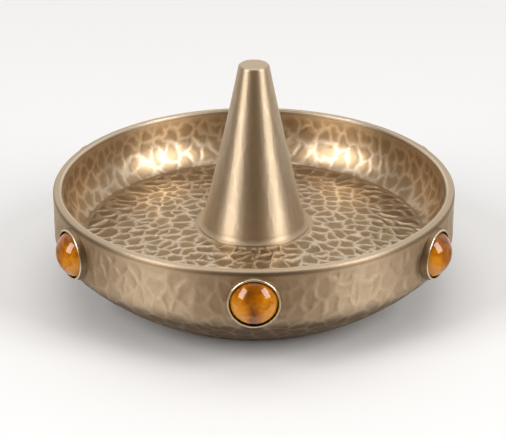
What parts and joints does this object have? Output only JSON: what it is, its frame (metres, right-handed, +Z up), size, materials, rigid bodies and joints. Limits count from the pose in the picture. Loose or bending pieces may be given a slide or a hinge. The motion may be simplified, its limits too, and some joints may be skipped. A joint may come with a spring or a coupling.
{
  "type": "ring dish",
  "caption": "Round hammered metal ring dish with a tapered ring cone at its centre and domed amber stones in cups round its wall.",
  "frame": {"origin": "centre of the dish's box at the table, under the felt, on the axis of the bowl and the cone", "axes": "+Z up along the cone; +Y runs from the front stone, at -Y, to the back stone, the longest horizontal extent"},
  "size_m": [0.1, 0.1084, 0.0586],
  "materials": {
    "bronze_bowl": "satin champagne bronze, lightly hammered",
    "bronze_pan": "satin champagne bronze, strongly hammered",
    "bronze_cone": "satin champagne bronze, planished",
    "polished_bezel": "polished pale bronze",
    "gold_foil": "bright foil",
    "amber_glass": "polished amber-coloured glass",
    "steel": "zinc plated",
    "ballast_resin": "cast, matt",
    "felt": "pressed wool felt"
  },
  "bodies": {
    "root": {"outer_bowl": "bronze_bowl", "inner_pan": "bronze_pan", "ballast": "ballast_resin", "ring_cone": "bronze_cone", "tie_screw": "steel", "screw_washer": "steel", "base_felt": "felt", "bezel_cup_front": "polished_bezel", "bezel_cup_front_right": "polished_bezel", "bezel_cup_back_right": "polished_bezel", "bezel_cup_back": "polished_bezel", "bezel_cup_back_left": "polished_bezel", "bezel_cup_front_left": "polished_bezel", "foil_front": "gold_foil", "foil_front_right": "gold_foil", "foil_back_right": "gold_foil", "foil_back": "gold_foil", "foil_back_left": "gold_foil", "foil_front_left": "gold_foil", "cabochon_front": "amber_glass", "cabochon_front_right": "amber_glass", "cabochon_back_right": "amber_glass", "cabochon_back": "amber_glass", "cabochon_back_left": "amber_glass", "cabochon_front_left": "amber_glass"}
  },
  "joints": []
}
